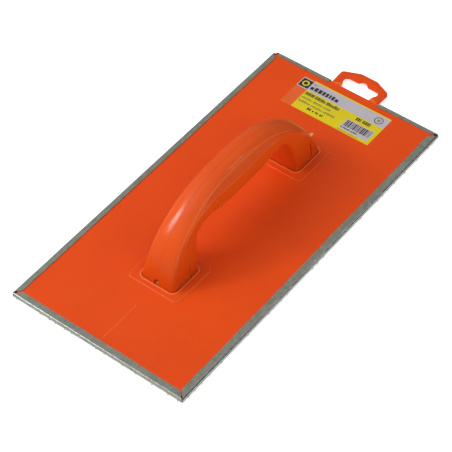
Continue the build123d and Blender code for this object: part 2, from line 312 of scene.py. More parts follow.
def prism(name, outline, start, end, axis="Z"):
    """Closed prism of an outline. Its plane is XY, YZ or XZ, across the given axis."""
    place = {
        "X": lambda u, v, w: (w, u, v),
        "Y": lambda u, v, w: (u, w, v),
        "Z": lambda u, v, w: (u, v, w),
    }[axis]
    bm = bmesh.new()
    ends = [[bm.verts.new(place(p.x, p.y, level)) for p in outline] for level in (start, end)]
    bridge(bm, *ends)
    bm.faces.new(ends[0])
    bm.faces.new(ends[1])
    return new_object(name, bm)


def finish_piece(piece, materials, node):
    """Scale a piece to metres, shade it, and hand it over in place of its CAD node."""
    piece.data.transform(Matrix.Scale(MM, 4))
    for polygon in piece.data.polygons:
        polygon.use_smooth = True
    piece.data.set_sharp_from_angle(angle=SMOOTH_ANGLE)
    for material in materials:
        piece.data.materials.append(material)
    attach(piece, "root")
    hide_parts(node)


# ---- Materials ------------------------------------------------------------------------------------


def new_material(name):
    """A node material with its tree and its Principled shader."""
    material = bpy.data.materials.new(name)
    material.use_nodes = True
    tree = material.node_tree
    return material, tree, tree.nodes["Principled BSDF"]


def add(tree, kind, inputs=(), **settings):
    """A shader node with its settings; inputs are (socket, value or another node's socket)."""
    made = tree.nodes.new(kind)
    for key, value in settings.items():
        setattr(made, key, value)
    for socket, value in inputs:
        if isinstance(value, bpy.types.NodeSocket):
            tree.links.new(value, made.inputs[socket])
        else:
            made.inputs[socket].default_value = value
    return made


def place(tree, stretch=(1, 1, 1)):
    """Object coordinates, in metres, stretched along the axes."""
    where = add(tree, "ShaderNodeTexCoord").outputs["Object"]
    return add(tree, "ShaderNodeMapping", [("Vector", where), ("Scale", stretch)]).outputs[0]


def speckle(tree, scale, detail=2.0, roughness=0.5, stretch=(1, 1, 1)):
    """Noise value, about 0 to 1."""
    inputs = [("Vector", place(tree, stretch)), ("Scale", scale), ("Detail", detail)]
    return add(tree, "ShaderNodeTexNoise", inputs + [("Roughness", roughness)]).outputs["Fac"]


def remap(tree, value, low, high, to_low, to_high):
    """A value mapped from one range to another, and held there."""
    inputs = [("Value", value), ("From Min", low), ("From Max", high)]
    inputs += [("To Min", to_low), ("To Max", to_high)]
    return add(tree, "ShaderNodeMapRange", inputs).outputs[0]


def blend_colours(tree, share, first, second, kind="MIX"):
    """Mix of two colours, given as colours or sockets."""
    mix = add(tree, "ShaderNodeMix", data_type="RGBA", blend_type=kind)
    for socket, value in ((0, share), (6, first), (7, second)):
        if isinstance(value, bpy.types.NodeSocket):
            tree.links.new(value, mix.inputs[socket])
        else:
            mix.inputs[socket].default_value = value
    return mix.outputs[2]


def bump(tree, height, distance, below=None):
    """Bump from a height value, on top of another bump's normal if one is given."""
    inputs = [("Height", height), ("Distance", distance)]
    if below is not None:
        inputs.append(("Normal", below))
    return add(tree, "ShaderNodeBump", inputs).outputs[0]


def rgb(*display):
    """Linear colour from red, green and blue display values out of 255."""
    linear = [((v / 255 + 0.055) / 1.055) ** 2.4 if v > 10 else v / 255 / 12.92 for v in display]
    return (*linear, 1)


def moulded_plastic(name, colour, shade, roughness, gloss_level, grain):
    """Satin moulded plastic: faint flow clouds, a fine grain, and small scuffs that change the gloss."""
    material, tree, surface = new_material(name)
    clouds = remap(tree, speckle(tree, 14, 3), 0.35, 0.65, 0, 1)
    body = blend_colours(tree, clouds, colour, shade)
    scuffs = remap(tree, speckle(tree, 45, 3, 0.6), 0.55, 0.7, 0, 1)
    tree.links.new(body, surface.inputs["Base Color"])
    gloss = remap(tree, speckle(tree, 120, 4, 0.6), 0.3, 0.7, roughness - 0.04, roughness + 0.04)
    rough = add(tree, "ShaderNodeMath", [(0, gloss), (1, remap(tree, scuffs, 0, 1, 0, 0.04))])
    tree.links.new(rough.outputs[0], surface.inputs["Roughness"])
    wide = bump(tree, speckle(tree, 30, 2), 0.0004)
    fine = bump(tree, speckle(tree, 1600, 2), grain, wide)
    tree.links.new(fine, surface.inputs["Normal"])
    surface.inputs["IOR"].default_value = 1.5
    surface.inputs["Specular IOR Level"].default_value = gloss_level
    return material


def galvanised_steel(name, tones, roughness, metallic):
    """Zinc-coated sheet: spangle cells, rolling streaks, grey-green weathering and pale oxide specks."""
    material, tree, surface = new_material(name)
    dull, bright, grimy = tones
    cells = add(tree, "ShaderNodeTexVoronoi", [("Vector", place(tree)), ("Scale", 420.0)])
    shade = add(tree, "ShaderNodeSeparateColor", [(0, cells.outputs["Color"])]).outputs[0]
    spangle = blend_colours(tree, shade, dull, bright)
    streaks = remap(tree, speckle(tree, 40, 5, 0.65, (1, 30, 30)), 0.4, 0.68, 0, 0.5)
    streaked = blend_colours(tree, streaks, spangle, rgb(176, 178, 168))
    grime = remap(tree, speckle(tree, 260, 6, 0.7), 0.5, 0.7, 0, 0.5)
    weathered = blend_colours(tree, grime, streaked, grimy)
    specks = remap(tree, speckle(tree, 1300, 3, 0.6), 0.64, 0.7, 0, 0.5)
    coloured = blend_colours(tree, specks, weathered, rgb(205, 206, 200))
    tree.links.new(coloured, surface.inputs["Base Color"])
    surface.inputs["Metallic"].default_value = metallic
    rough = remap(tree, grime, 0, 0.5, roughness, roughness + 0.15)
    tree.links.new(rough, surface.inputs["Roughness"])
    dents = bump(tree, speckle(tree, 110, 3, 0.6), 0.0003)
    grain = bump(tree, speckle(tree, 1500, 3), 0.00006, dents)
    tree.links.new(grain, surface.inputs["Normal"])
    return material


def zinc_screw():
    """Zinc-plated screw steel with turning marks."""
    material, tree, surface = new_material("zinc_plate")
    tint = remap(tree, speckle(tree, 500, 4), 0.3, 0.7, 0, 1)
    zinc = blend_colours(tree, tint, rgb(150, 150, 152), rgb(196, 196, 198))
    tree.links.new(zinc, surface.inputs["Base Color"])
    surface.inputs["Metallic"].default_value = 1.0
    tree.links.new(remap(tree, tint, 0, 1, 0.25, 0.45), surface.inputs["Roughness"])
    tree.links.new(bump(tree, speckle(tree, 900, 3, 0.5, (1, 1, 5)), 0.00005), surface.inputs["Normal"])
    return material


def printed_film(name, colour, fleck, roughness=0.3):
    """Ink under a glossy film: halftone flecks, slight ripples and rubbed patches."""
    material, tree, surface = new_material(name)
    dots = remap(tree, speckle(tree, 1800, 3, 0.6), 0.4, 0.62, 0, 0.5)
    patches = remap(tree, speckle(tree, 60, 4), 0.4, 0.65, 0, 0.35)
    inked = blend_colours(tree, dots, colour, fleck)
    tree.links.new(blend_colours(tree, patches, inked, fleck), surface.inputs["Base Color"])
    rubbed = remap(tree, speckle(tree, 150, 4), 0.35, 0.65, roughness - 0.06, roughness + 0.1)
    tree.links.new(rubbed, surface.inputs["Roughness"])
    tree.links.new(bump(tree, speckle(tree, 70, 2), 0.0003), surface.inputs["Normal"])
    return material


BOARD_ORANGE = moulded_plastic("orange_board", rgb(236, 79, 16), rgb(229, 75, 16), 0.46, 0.25, 0.00002)
# Thin webs at the tab's roots: a lighter orange that is a painted glow of light through the thin plastic
GLOWING_WEB_ORANGE = moulded_plastic("orange_thin_web_painted_glow", rgb(250, 114, 26), rgb(246, 106, 26), 0.42, 0.25, 0.00002)
# Lip beads, pad edges and the knit ridge: a lighter orange that is a painted highlight on their rounded tops
HIGHLIT_BEAD_ORANGE = moulded_plastic("orange_bead_painted_highlight", rgb(246, 122, 62), rgb(240, 112, 54), 0.3, 0.45, 0.00001)
TORN_ORANGE = moulded_plastic("orange_torn", rgb(252, 205, 150), rgb(246, 180, 118), 0.55, 0.3, 0.0001)
# Handle ridges: a lighter, glossier orange that paints a highlight line along the shoulder and the waist
HIGHLIT_RIDGE_ORANGE = moulded_plastic("orange_ridge_painted_highlight", rgb(243, 104, 46), rgb(238, 98, 42), 0.22, 0.6, 0.000002)
HANDLE_ORANGE = moulded_plastic("orange_handle", rgb(234, 86, 14), rgb(228, 82, 14), 0.22, 0.45, 0.000002)
STEEL = galvanised_steel(
    "galvanised_steel", (rgb(136, 143, 130), rgb(156, 162, 148), rgb(98, 102, 90)), 0.4, 0.5,
)
# Near end's wall: pale steel that is a painted reflection of the white floor
REFLECTING_WALL_STEEL = galvanised_steel(
    "galvanised_wall_painted_reflection", (rgb(172, 177, 160), rgb(200, 203, 188), rgb(130, 134, 118)), 0.5, 0.3,
)
# End bends: near-white glossy steel that is a painted highlight along the fold
HIGHLIT_BEND_STEEL = galvanised_steel(
    "bend_painted_highlight", (rgb(222, 225, 220), rgb(240, 242, 238), rgb(160, 164, 156)), 0.24, 0.7,
)
BRIGHT_STEEL = galvanised_steel(
    "bright_bend", (rgb(196, 202, 200), rgb(222, 226, 224), rgb(130, 136, 130)), 0.14, 1.0,
)
ZINC = zinc_screw()

# ---- Board ----------------------------------------------------------------------------------------

PLATE_FINISH, PAINTED_WEB_GLOW, PAINTED_BEAD_HIGHLIGHT = range(3)


def mirrored(outline):
    """The outline mirrored in X, still anticlockwise."""
    return [Vector((-p.x, p.y)) for p in reversed(outline)]


def both_sides(near):
    """The (x, y, cut) points of the near side, and then the same points at the far side, +Y."""
    return near + [(x, -y, cut) for x, y, cut in reversed(near)]


def spigot_outline():
    """Spigot of the foot at +X with its three pegs."""
    length, width, corner = SPIGOT_SIZE
    inner, outer, side = PAD_X - length / 2, PAD_X + length / 2, width / 2
    low, high = SIDE_NOTCH_X - SIDE_PEG_HALF_WIDTH, SIDE_NOTCH_X + SIDE_PEG_HALF_WIDTH
    tip, half = side + SIDE_PEG_REACH, PEG_HALF_WIDTH
    near = [(inner, -side, corner), (low, -side, 0), (low, -tip, 0.5), (high, -tip, 0.5), (high, -side, 0)]
    near += [(outer, -side, corner), (outer, -half, 0), (outer + PEG_REACH, -half, 0.6)]
    return round_corners(both_sides(near))


def add_foot_place(bm, end):
    """Pad, lip, socket and spigot of one foot; the ring on the plate's top and the screw hole rings."""
    pad = rounded_rectangle(end * PAD_X, PAD_SIZE)
    length, width, corner = SOCKET_SIZE
    lip_size = (length + 2 * LIP_WIDTH, width + 2 * LIP_WIDTH, corner + LIP_WIDTH)
    lip = rounded_rectangle(end * SOCKET_X, lip_size)
    pad_top = BOARD_TOP + PAD_RISE
    lip_top = pad_top + LIP_RISE
    socket_wall = -LIP_WIDTH - SOCKET_DRAFT
    foot_ring, pad_ring = stack(bm, pad, [
        (0.9, BOARD_TOP), (0.5, BOARD_TOP), (0.22, BOARD_TOP + 0.03), (0.05, BOARD_TOP + 0.16),
        (0.0, pad_top - 0.3), (-0.08, pad_top - 0.1), (-0.3, pad_top), (-0.7, pad_top),
    ])
    lip_ring, socket_ring = stack(bm, lip, [
        (0.5, pad_top), (0.2, pad_top), (0.05, pad_top + 0.06), (-0.05, lip_top - 0.14),
        (-0.3, lip_top - 0.02), (-0.7, lip_top), (-1.05, lip_top - 0.04), (-1.3, lip_top - 0.18),
        (-LIP_WIDTH, lip_top - 0.5), (socket_wall, lip_top - 0.65), (socket_wall, SOCKET_FLOOR),
    ])
    bridge(bm, pad_ring, lip_ring)

    spigot = spigot_outline() if end > 0 else mirrored(spigot_outline())
    length, width, _ = SPIGOT_SIZE
    pocket_size = (length - 2 * SPIGOT_WALL, width - 2 * SPIGOT_WALL, POCKET_CORNER)
    pocket = rounded_rectangle(end * PAD_X, pocket_size)
    spigot_foot, spigot_top = stack(bm, spigot, [
        (0, SOCKET_FLOOR), (0, SPIGOT_TOP - SPIGOT_EDGE), (-0.06, SPIGOT_TOP - 0.06),
        (-SPIGOT_EDGE, SPIGOT_TOP),
    ])
    pocket_top, pocket_floor = stack(bm, pocket, [(0, SPIGOT_TOP), (0, SOCKET_FLOOR)])
    fill(bm, socket_ring, [spigot_foot])
    fill(bm, spigot_top, [pocket_top])
    holes = []
    below = []
    for row in (-1, 1):
        hole = circle(end * PAD_X, row * SCREW_Y, SCREW_HOLE)
        top, bottom = stack(bm, hole, [
            (0, SOCKET_FLOOR), (0, BOARD_BOTTOM + COUNTERSINK_DEPTH),
            (COUNTERSINK - SCREW_HOLE, BOARD_BOTTOM),
        ])
        holes.append(top)
        below.append(bottom)
    fill(bm, pocket_floor, holes)
    return foot_ring, below


def build_tab():
    """Hang tab with its display-hook opening and the thin webs at its roots, as a closed tool."""
    top = BOARD_TOP - TAB_SINK
    bottom = BOARD_TOP - TAB_THICKNESS
    near = [(TAB_ROOT, -23.5, 0), (BOARD_X, -23.5, 0), (183.0, -24.0, 1.4), (184.9, -22.9, 1.0)]
    near += [(TAB_END, -8.4, 1.6)]
    outline = round_corners(both_sides(near))
    side = [(BOARD_X, -14.7, 0.3), (171.6, -15.0, 1.0), (174.6, -16.2, 0.8), (175.8, -17.3, 1.0)]
    side += [(179.6, -17.3, 1.6), (181.6, -14.8, 1.2), (181.6, -4.6, 0.8), (183.4, -3.1, 0.8)]
    side += [(184.9, -1.2, 1.1)]
    slot = round_corners(both_sides(side))
    bm = bmesh.new()
    edge = [(0, bottom + 0.25), (0, top - 0.35), (-0.1, top - 0.1), (-0.35, top)]
    rim = [(-0.2, bottom)] + edge
    outer_low, outer_high = stack(bm, outline, rim)
    inner_low, inner_high = stack(bm, slot, [(-offset, height) for offset, height in rim])
    fill(bm, outer_high, [inner_high])
    fill(bm, outer_low, [inner_low])
    tab = new_object("tab", bm)
    for way in (-1, 1):
        groove = rectangle(WEB_START, WEB_END, *sorted(way * edge for edge in WEB_SPAN))
        combine(tab, prism("groove", groove, bottom - 1, bottom + WEB_DEPTH))
    return tab


def board_finish(centre):
    """Finish of the face with this centre: thin webs with a painted glow of light through them, lip beads,
    pad edges and the knit ridge with a painted highlight, or the plate's own.
    """
    above = centre.z - BOARD_TOP
    # The thin webs get the painted glow
    if WEB_FACES[0] < centre.x < WEB_END and abs(centre.y) > WEB_FACES[1] and centre.z > WEB_FACES[2]:
        return PAINTED_WEB_GLOW
    # The knit ridge, the pad edges and the lip get the painted highlight
    on_knit = above > 0.3 * KNIT_RISE and abs(centre.x - KNIT_X) < KNIT_SIZE[0] / 2
    on_pad_edge = 0.2 < above < PAD_RISE - 0.02
    on_lip = above > PAD_RISE + 0.2
    return PAINTED_BEAD_HIGHLIGHT if on_lip or on_knit or on_pad_edge else PLATE_FINISH


def build_board():
    """Moulded board: plate, two foot places and the hang tab in one piece."""
    bm = bmesh.new()
    plate = rounded_rectangle(0, (2 * BOARD_X, 2 * BOARD_Y, BOARD_CORNER), 5)
    bottom, top = stack(bm, plate, [
        (-0.3, BOARD_BOTTOM), (0, BOARD_BOTTOM + 0.3), (0, BOARD_TOP - 0.4), (-0.12, BOARD_TOP - 0.12),
        (-0.4, BOARD_TOP), (-0.9, BOARD_TOP),
    ])
    feet = [add_foot_place(bm, end) for end in (-1, 1)]
    knit = rounded_rectangle(KNIT_X, KNIT_SIZE, 4)
    knit_foot, knit_top = stack(bm, knit, [
        (0.3, BOARD_TOP), (0, BOARD_TOP), (-0.03, BOARD_TOP + KNIT_RISE),
    ])
    fill(bm, knit_top)
    fill(bm, top, [knit_foot] + [foot_ring for foot_ring, _ in feet])
    fill(bm, bottom, [ring for _, below in feet for ring in below])
    board = new_object("moulded_board", bm)
    combine(board, build_tab(), "UNION")
    for polygon in board.data.polygons:
        polygon.material_index = board_finish(polygon.center)
    finish_piece(board, [BOARD_ORANGE, GLOWING_WEB_ORANGE, HIGHLIT_BEAD_ORANGE], "board")


build_board()

# ---- Handle ---------------------------------------------------------------------------------------

# Half of the arch, from the socket floor to mid span. Each row: crest x, z; underside x, z; half
# width; shoulder half width; drop of the shoulder; its rounding; how far down the waist is, as a
# share of the depth; its rounding; rise of the lower corner; its share of the half width
ARCH = (
    (-96.4, 4.0, -63.9, 4.0, 16.9, 16.5, 0.7, 3.4, 0.40, 6.0, 1.6, 0.97),
    (-94.5, 14.6, -62.8, 13.0, 16.3, 15.6, 1.1, 3.0, 0.36, 6.0, 1.9, 0.97),
    (-91.2, 23.8, -61.3, 21.5, 15.6, 14.2, 1.9, 2.8, 0.32, 3.0, 2.2, 0.97),
    (-86.8, 32.6, -60.0, 29.0, 14.8, 13.2, 1.9, 2.0, 0.28, 1.8, 2.5, 0.96),
    (-80.4, 41.6, -58.2, 35.6, 14.0, 12.1, 2.2, 1.5, 0.25, 1.4, 2.8, 0.95),
    (-71.8, 49.5, -55.0, 40.0, 13.4, 11.2, 2.5, 1.3, 0.23, 1.4, 3.0, 0.94),
    (-61.2, 57.0, -50.0, 42.6, 13.0, 10.5, 2.7, 1.3, 0.24, 1.0, 3.0, 0.94),
    (-50.2, 63.4, -43.6, 43.4, 13.0, 10.2, 2.9, 1.6, 0.27, 0.9, 3.0, 0.94),
    (-38.0, 68.4, -34.6, 42.2, 13.0, 10.3, 3.0, 2.3, 0.32, 0.9, 3.0, 0.94),
    (-24.5, 71.3, -23.4, 40.4, 13.0, 10.4, 3.0, 3.2, 0.37, 1.0, 3.0, 0.94),
    (-12.0, 72.6, -11.8, 39.6, 13.0, 10.4, 3.0, 4.0, 0.41, 1.1, 3.0, 0.94),
    (0.0, 73.0, 0.0, 39.6, 13.0, 10.4, 3.0, 4.2, 0.42, 1.1, 3.0, 0.94),
)
ARCH_STEPS = 150
SECTION_STEPS = (9, 6, 5, 6, 6, 6, 7)  # along the crown, shoulder, flank, waist, side, corner and belly
GATE_FOOT = Vector((88.1, -12.1, 27.1))  # torn-off gate on the right shell's far leg
GATE_WAY = Vector((0.81, -0.4, 0.42)).normalized()
# Rings of the gate: reach, half width and half height
GATE_RINGS = ((-1.0, 1.5, 0.9), (1.0, 1.4, 0.8), (2.2, 1.1, 0.6), (2.9, 0.6, 0.25))
GATE_STEPS = 10
# Ridges with a pale painted highlight line: columns of the skin's grid along the shoulder and the waist, and
# the crest x they run between
RIDGES = (((12, 13), -90.0, 62.0), ((23, 24), -58.0, 45.0))
HANDLE_WALL = 2.4
SEAM = 0.16  # width and depth of each shell's share of the parting groove
NOTCH_BOTTOM = 2.0  # below the foot
NOTCH_RADIUS = 2.7
NOTCH_CENTRE = 8.2
SIDE_NOTCH_RADIUS = 1.2
SIDE_NOTCH_CENTRE = 7.4
# Slots through each shell: x on the right shell, half width, lowest and highest point
SLOTS = ((84.2, 0.6, 9.0, 22.0), (-74.6, 0.25, 10.5, 21.0))
# The cuts go from inside the hollow to outside the foot, along X or Y
NOTCH_CUT = (86.0, 100.0)
SIDE_NOTCH_CUT = (11.5, 20.0)
SLOT_CUT = (11.0, 20.0)
NOTCH_STEPS = 15  # odd, so that no corner of the round top lies on the parting plane
SKIN_FINISH, PAINTED_RIDGE_HIGHLIGHT, TORN_FINISH = range(3)


def smooth_rows(rows, steps):
    """Rows of numbers interpolated by natural cubic splines along the crest."""
    table = np.array(rows)
    gaps = np.linalg.norm(np.diff(table[:, :2], axis=0), axis=1)
    knots = np.concatenate(([0.0], np.cumsum(gaps)))
    count = len(knots)
    matrix = np.eye(count)
    right = np.zeros_like(table)
    for i in range(1, count - 1):
        matrix[i, i - 1 : i + 2] = gaps[i - 1], 2 * (gaps[i - 1] + gaps[i]), gaps[i]
        right[i] = 6 * ((table[i + 1] - table[i]) / gaps[i] - (table[i] - table[i - 1]) / gaps[i - 1])
    bend = np.linalg.solve(matrix, right)
    result = []
    for at in np.linspace(0, knots[-1], steps + 1):
        i = min(np.searchsorted(knots, at, side="right") - 1, count - 2)
        width = gaps[i]
        a = (knots[i + 1] - at) / width
        b = (at - knots[i]) / width
        curve = (a**3 - a) * bend[i] + (b**3 - b) * bend[i + 1]
        result.append(a * table[i] + b * table[i + 1] + curve * width**2 / 6)
    return result


def half_section(row, inset):
    """Half of a section as (depth, side) points, from crest to underside, inset from the skin."""
    depth = math.hypot(row[2] - row[0], row[3] - row[1])
    width, shoulder, drop, shoulder_cut, waist_share, waist_cut, rise, share = row[4:]
    half = width - inset
    top, bottom = inset, depth - inset
    crown = Vector((top, 0.5 * (shoulder - inset)))
    shoulder = Vector((top + drop, shoulder - inset))
    waist = Vector((top + waist_share * (bottom - top), half))
    corner = Vector((bottom - rise, share * half))
    belly = Vector((bottom, 0.55 * share * half))
    points = [Vector((top + SEAM, 0)), Vector((top, SEAM))] if inset == 0 else [Vector((top, 0))]
    flank = waist - shoulder
    longest_cut = 0.45 * flank.length
    shoulder_in = shoulder + (crown - shoulder).normalized() * shoulder_cut
    shoulder_out = shoulder + flank.normalized() * min(shoulder_cut, longest_cut)
    waist_in = waist - flank.normalized() * min(waist_cut, longest_cut)
    waist_out = waist + (corner - waist).normalized() * waist_cut
    corner_cut = 0.55 * rise + 0.4
    corner_in = corner + (waist - corner).normalized() * corner_cut
    corner_out = corner + (belly - corner).normalized() * corner_cut
    on_crown, on_shoulder, on_flank, on_waist, on_side, on_corner, on_belly = SECTION_STEPS
    points += bezier(points[-1], crown, shoulder_in, on_crown)
    points += bezier(shoulder_in, shoulder, shoulder_out, on_shoulder)
    points += [shoulder_out.lerp(waist_in, step / on_flank) for step in range(1, on_flank + 1)]
    points += bezier(waist_in, waist, waist_out, on_waist)
    points += [waist_out.lerp(corner_in, step / on_side) for step in range(1, on_side + 1)]
    points += bezier(corner_in, corner, corner_out, on_corner)
    points += bezier(corner_out, belly, Vector((bottom, SEAM if inset == 0 else 0)), on_belly)
    if inset == 0:
        points.append(Vector((bottom - SEAM, 0)))
    return points


def skin(bm, rows, side, inset):
    """Grid of vertices over one half of the arch."""
    grid = []
    for row in rows:
        crest, under = Vector((row[0], 0, row[1])), Vector((row[2], 0, row[3]))
        down = (under - crest).normalized()
        points = half_section(row, inset)
        grid.append([bm.verts.new(crest + down * p.x + Vector((0, side * p.y, 0))) for p in points])
    return grid


def gate_vestige():
    """Small torn stub where the gate was broken off, as a closed tool."""
    across = GATE_WAY.cross(Vector((0, 0, 1))).normalized()
    upright = across.cross(GATE_WAY)
    bm = bmesh.new()
    rings = []
    for reach, half_width, half_height in GATE_RINGS:
        middle = GATE_FOOT + GATE_WAY * reach
        ring = []
        for step in range(GATE_STEPS):
            turn = math.tau * step / GATE_STEPS
            point = middle + across * (half_width * math.cos(turn)) + upright * (half_height * math.sin(turn))
            ring.append(bm.verts.new(point))
        rings.append(ring)
    for first, second in zip(rings, rings[1:]):
        bridge(bm, first, second)
    bm.faces.new(rings[0])
    bm.faces.new(rings[-1])
    for face in bm.faces:
        face.material_index = TORN_FINISH
    return new_object("gate", bm)


def shell_body(side, name):
    """One half shell without its cuts: an outer and an inner skin, joined round their edges."""
    rows = list(ARCH) + [(-row[0], row[1], -row[2], *row[3:]) for row in ARCH[-2::-1]]
    rows = smooth_rows(rows, ARCH_STEPS)
    bm = bmesh.new()
    outer = skin(bm, rows, side, 0.0)
    inner = skin(bm, rows, side, HANDLE_WALL)
    for first, second in zip(inner, inner[1:]):
        bridge(bm, first, second, closed=False)
    for row, first, second in zip(rows, outer, outer[1:]):
        # Columns along the shoulder and the waist get the painted highlight lines
        pale = [column for columns, low, high in RIDGES if low < row[0] < high for column in columns]
        finishes = [PAINTED_RIDGE_HIGHLIGHT if column in pale else SKIN_FINISH for column in range(len(first))]
        bridge(bm, first, second, closed=False, finishes=finishes)
    for column in (0, -1):
        bridge(bm, [row[column] for row in outer], [row[column] for row in inner], closed=False)
    for outside, inside in ((outer[0], inner[0]), (outer[-1], inner[-1])):
        for i in range(len(inside) - 1):
            bm.faces.new((outside[i + 1], outside[i + 2], inside[i + 1], inside[i]))
        bm.faces.new((outside[0], outside[1], inside[0]))
        bm.faces.new((outside[-2], outside[-1], inside[-1]))
    return new_object(name, bm)


def round_topped(middle, radius, centre):
    """Outline of a notch that is open at the foot and round on top."""
    outline = [Vector((middle - radius, NOTCH_BOTTOM)), Vector((middle + radius, NOTCH_BOTTOM))]
    for step in range(NOTCH_STEPS + 1):
        angle = math.pi * step / NOTCH_STEPS
        outline.append(Vector((middle + radius * math.cos(angle), centre + radius * math.sin(angle))))
    return outline


def cut_out(shell, name, outline, way, reach, axis):
    """Cut an outline through a wall of the shell, from reach[0] to reach[1] along an axis."""
    combine(shell, prism(name, outline, way * reach[0], way * reach[1], axis))


def build_shell(side, name, node):
    """One half shell of the handle, hollow, with its notches and slots, and the gate on the right one."""
    shell = shell_body(side, name)
    for end in (-1, 1):
        notch = round_topped(0, NOTCH_RADIUS, NOTCH_CENTRE)
        cut_out(shell, "notch", notch, end, NOTCH_CUT, "X")
        notch = round_topped(end * SIDE_NOTCH_X, SIDE_NOTCH_RADIUS, SIDE_NOTCH_CENTRE)
        cut_out(shell, "notch", notch, side, SIDE_NOTCH_CUT, "Y")
    for x, half, low, high in SLOTS:
        slot = rectangle(-side * x - half, -side * x + half, low, high)
        cut_out(shell, "slot", slot, side, SLOT_CUT, "Y")
    if side < 0:
        combine(shell, gate_vestige(), "UNION")
    finish_piece(shell, [HANDLE_ORANGE, HIGHLIT_RIDGE_ORANGE, TORN_ORANGE], node)


build_shell(1, "left_half_shell", "handle_left_shell")
build_shell(-1, "right_half_shell", "handle_right_shell")

# ---- Abrasive sheet -------------------------------------------------------------------------------

PLAIN, PAINTED_WALL_REFLECTION, PAINTED_BEND_HIGHLIGHT, BRIGHT_BEND = range(4)


def rim_profile(flange):
    """Outer skin of a fold as (inward distance, height) rows, from the sole plate to the flange's edge."""
    rows = []
    for step in range(6):
        turn = math.radians(90) * step / 5
        rows.append((BEND - BEND * math.sin(turn), SOLE + BEND - BEND * math.cos(turn)))
    top = sheet_high.z
    rows += [(0, height) for height in WALL_HEIGHTS]
    for step in range(7):
        turn = math.radians(90) * step / 6
        rows.append((BEND - BEND * math.cos(turn), top - BEND + BEND * math.sin(turn)))
    rows += [(BEND + (flange - BEND) * share, top) for share in FLANGE_SHARES]
    return rows


def fold_finish(row, outward):
    """Finish at a row of the fold's profile. Only the wall of the near end is pale, from a painted reflection
    of the floor; the end bends carry a painted highlight.
    """
    if row not in PAINTED_AND_POLISHED_ROWS:
        return PLAIN
    if row < (END_BEND_ROW if outward.x else SIDE_BEND_ROW):
        return PAINTED_WALL_REFLECTION if outward.x < 0 and row < SIDE_BEND_ROW else PLAIN
    return PAINTED_BEND_HIGHLIGHT if outward.x else BRIGHT_BEND


def burr_drops(half_length, count):
    """Burrs torn along a fold: how far each hangs down, by its station along the rim."""
    drops = {}
    for i in BURR_PLACES:
        at = i * TOOTH_PITCH[1] / 2 + random.uniform(-1.5, 1.5)
        if abs(at) < half_length - 3 and random.random() < BURR_SHARE:
            drops[round((at / half_length + 1) / 2 * count)] = random.uniform(*BURR_DROP)
    return drops


def stray(seed, at, row, raised, on_flange):
    """How far a point of the rim strays inwards and up, from waviness, ripples and a ragged edge."""
    wave = noise.noise(seed + Vector((at * 0.03, row * 0.02, 0)))
    ripple = noise.noise(seed + Vector((at * 0.35, 0, 7)))
    rag = noise.noise(seed + Vector((at * 0.9, 4, 1)))
    shift = 0.14 * (wave + 0.5) * raised + on_flange**3 * (0.28 * wave + 0.22 * ripple)
    if on_flange > 0.9:
        shift += 0.16 * rag + (0.35 if rag > 0.42 else 0)
    lift = on_flange**2 * max(0, 0.16 * (ripple + wave) + 0.03)
    return max(0, shift), lift


def rim_grid(bm, outward, flange, gaps, burrs, count):
    """Rows of vertices over one folded side, wavy, with a rough flange edge and torn burrs."""
    along = Vector((-outward.y, outward.x, 0))
    half_span = HALF_X if outward.x else HALF_Y
    half_length = HALF_Y if outward.x else HALF_X
    seed = Vector((3.7, 9.1, 2.3)) + 5 * outward
    grid = []
    for row, (inward, height) in enumerate(rim_profile(flange)):
        raised = min(1, max(0, (height - SOLE - BEND) / 3))
        low = -half_length + CORNER_GAP + inward + gaps[0] * raised
        high = half_length - CORNER_GAP - inward - gaps[1] * raised
        on_flange = max(0, (inward - BEND) / (flange - BEND)) if height > BOARD_TOP else 0
        line = []
        for i in range(count + 1):
            at = low + (high - low) * i / count
            shift, lift = stray(seed, at, row, raised, on_flange)
            drop = burrs.get(i, 0) if row == BURR_ROW else 0
            distance = half_span - inward - shift + BURR_LEAN * drop
            level = Vector((0, 0, height + lift - drop))
            line.append(bm.verts.new(outward * distance + along * at + level))
        grid.append(line)
    return grid


def rim_side(bm, outward, flange, gaps):
    """One folded side, less the gap for the tab; its row of plate vertices."""
    outward = Vector((*outward, 0))
    half_length = HALF_Y if outward.x else HALF_X
    count = round(2 * half_length / STATION)
    burrs = burr_drops(half_length, count)
    grid = rim_grid(bm, outward, flange, gaps, burrs, count)
    for row, (lower, upper) in enumerate(zip(grid, grid[1:])):
        for i in range(count):
            middle = (lower[i].co + upper[i + 1].co) / 2
            in_tab_gap = outward.x > 0 and abs(middle.y) < TAB_GAP and middle.z > SOLE + BEND
            if not in_tab_gap:
                face = bm.faces.new((lower[i], lower[i + 1], upper[i + 1], upper[i]))
                beside_burr = (i in burrs or i + 1 in burrs) and abs(row - BURR_ROW) < 2
                face.material_index = PLAIN if beside_burr else fold_finish(row, outward)
    bmesh.ops.delete(bm, geom=[v for line in grid for v in line if not v.link_faces], context="VERTS")
    return grid[0]


def tooth(bm, x, y):
    """Punched burr, torn into four points below the sole plate; its ring on the plate and its torn edge."""
    lean = Vector((random.uniform(-TOOTH_LEAN, TOOTH_LEAN), random.uniform(-TOOTH_LEAN, TOOTH_LEAN)))
    spin = random.uniform(0, math.tau)
    rings = []
    for radius, depth in TOOTH_RINGS:
        ring = []
        for i in range(TOOTH_STEPS):
            angle = math.tau * i / TOOTH_STEPS
            torn = 0.5 - 0.5 * math.cos(4 * angle + spin)
            drop = depth * (1 - 0.42 * torn * (depth / SOLE) ** 2)
            flare = radius + 0.12 * torn * (depth / SOLE) ** 3
            away = lean * (depth / SOLE) ** 2
            ring.append(bm.verts.new((
                x + away.x + flare * math.cos(angle), y + away.y + flare * math.sin(angle), SOLE - drop,
            )))
        rings.append(ring)
    for first, second in zip(rings, rings[1:]):
        bridge(bm, first, second)
    return rings[0], rings[-1]


